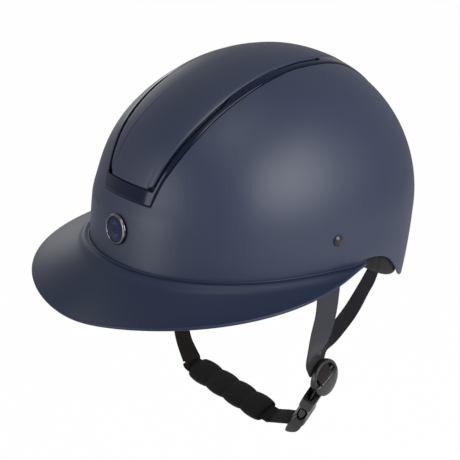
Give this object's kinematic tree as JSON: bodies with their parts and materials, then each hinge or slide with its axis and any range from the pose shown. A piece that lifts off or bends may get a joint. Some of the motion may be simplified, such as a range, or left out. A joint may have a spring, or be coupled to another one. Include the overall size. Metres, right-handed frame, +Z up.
{
  "type": "riding helmet",
  "caption": "Riding helmet with a wide front brim, vented centre panel, foam liner, comfort pads and a Y harness whose padded chin strap opens at a side-release buckle.",
  "frame": {"origin": "middle of the head opening, between the ears at the height of the brow pad's lower edge", "axes": "+Z up through the crown, -Y forwards over the brim, +X towards the wearer's left"},
  "size_m": [0.2534, 0.3246, 0.3053],
  "materials": {
    "navy_matte": "matte navy coating",
    "navy_gloss": "dark navy lacquer",
    "mesh_black": "black mesh",
    "foam": "fine beaded foam",
    "pad_fabric": "soft knit",
    "badge_chrome": "polished",
    "badge_blue": "blue enamel",
    "fitting_plastic": "moulded black",
    "rivet_black": "satin black",
    "washer_steel": "plain",
    "strap_leather": "smooth black",
    "webbing": "flat weave",
    "chin_quilt": "quilted soft black"
  },
  "bodies": {
    "helmet": {"outer_shell": "navy_matte", "brim": "navy_matte", "vent_trim": "navy_gloss", "centre_panel": "navy_matte", "vent_grilles": "mesh_black", "impact_liner": "foam", "crown_liner": "foam", "crown_pad": "pad_fabric", "brow_pad": "pad_fabric", "nape_pad": "pad_fabric", "badge_ring": "badge_chrome", "badge_face": "badge_blue", "badge_clip": "washer_steel", "side_rivets": "rivet_black", "rivet_washers": "washer_steel", "rear_anchors": "fitting_plastic", "left_front_strap": "strap_leather", "left_rear_strap": "strap_leather", "left_adjuster": "fitting_plastic", "left_adjuster_bar": "fitting_plastic", "buckle_webbing": "webbing", "buckle_socket": "fitting_plastic", "right_strap_anchors": "strap_leather"},
    "chin_strap": {"right_front_strap": "strap_leather", "right_rear_strap": "strap_leather", "right_adjuster": "fitting_plastic", "right_adjuster_bar": "fitting_plastic", "chin_webbing": "webbing", "buckle_tongue": "fitting_plastic"},
    "chin_cushion": {"chin_pad": "chin_quilt"},
    "prong_front": {"front_prong": "fitting_plastic"},
    "prong_rear": {"rear_prong": "fitting_plastic"}
  },
  "joints": [
    {"name": "chin_strap_swing", "type": "hinge", "parent": "helmet", "child": "chin_strap", "pos_m": [-0.0964, -0.0006, 0.005], "axis": [0.1313, 0.9913, 0], "range_deg": [0, 90]},
    {"name": "chin_pad_slide", "type": "slide", "parent": "chin_strap", "child": "chin_cushion", "axis": [0.9984, -0.0551, -0.0114], "range_m": [-0.003, 0.003]},
    {"name": "front_prong_squeeze", "type": "hinge", "parent": "chin_strap", "child": "prong_front", "pos_m": [0.0804, -0.0144, -0.10217], "axis": [-0.7818, -0.4407, 0.4411], "range_deg": [0, 6], "stiffness_Nm_per_rad": 0.1},
    {"name": "rear_prong_squeeze", "type": "hinge", "parent": "chin_strap", "child": "prong_rear", "pos_m": [0.07516, -0.0008, -0.09787], "axis": [0.7818, 0.4407, -0.4411], "range_deg": [0, 6], "stiffness_Nm_per_rad": 0.1}
  ]
}
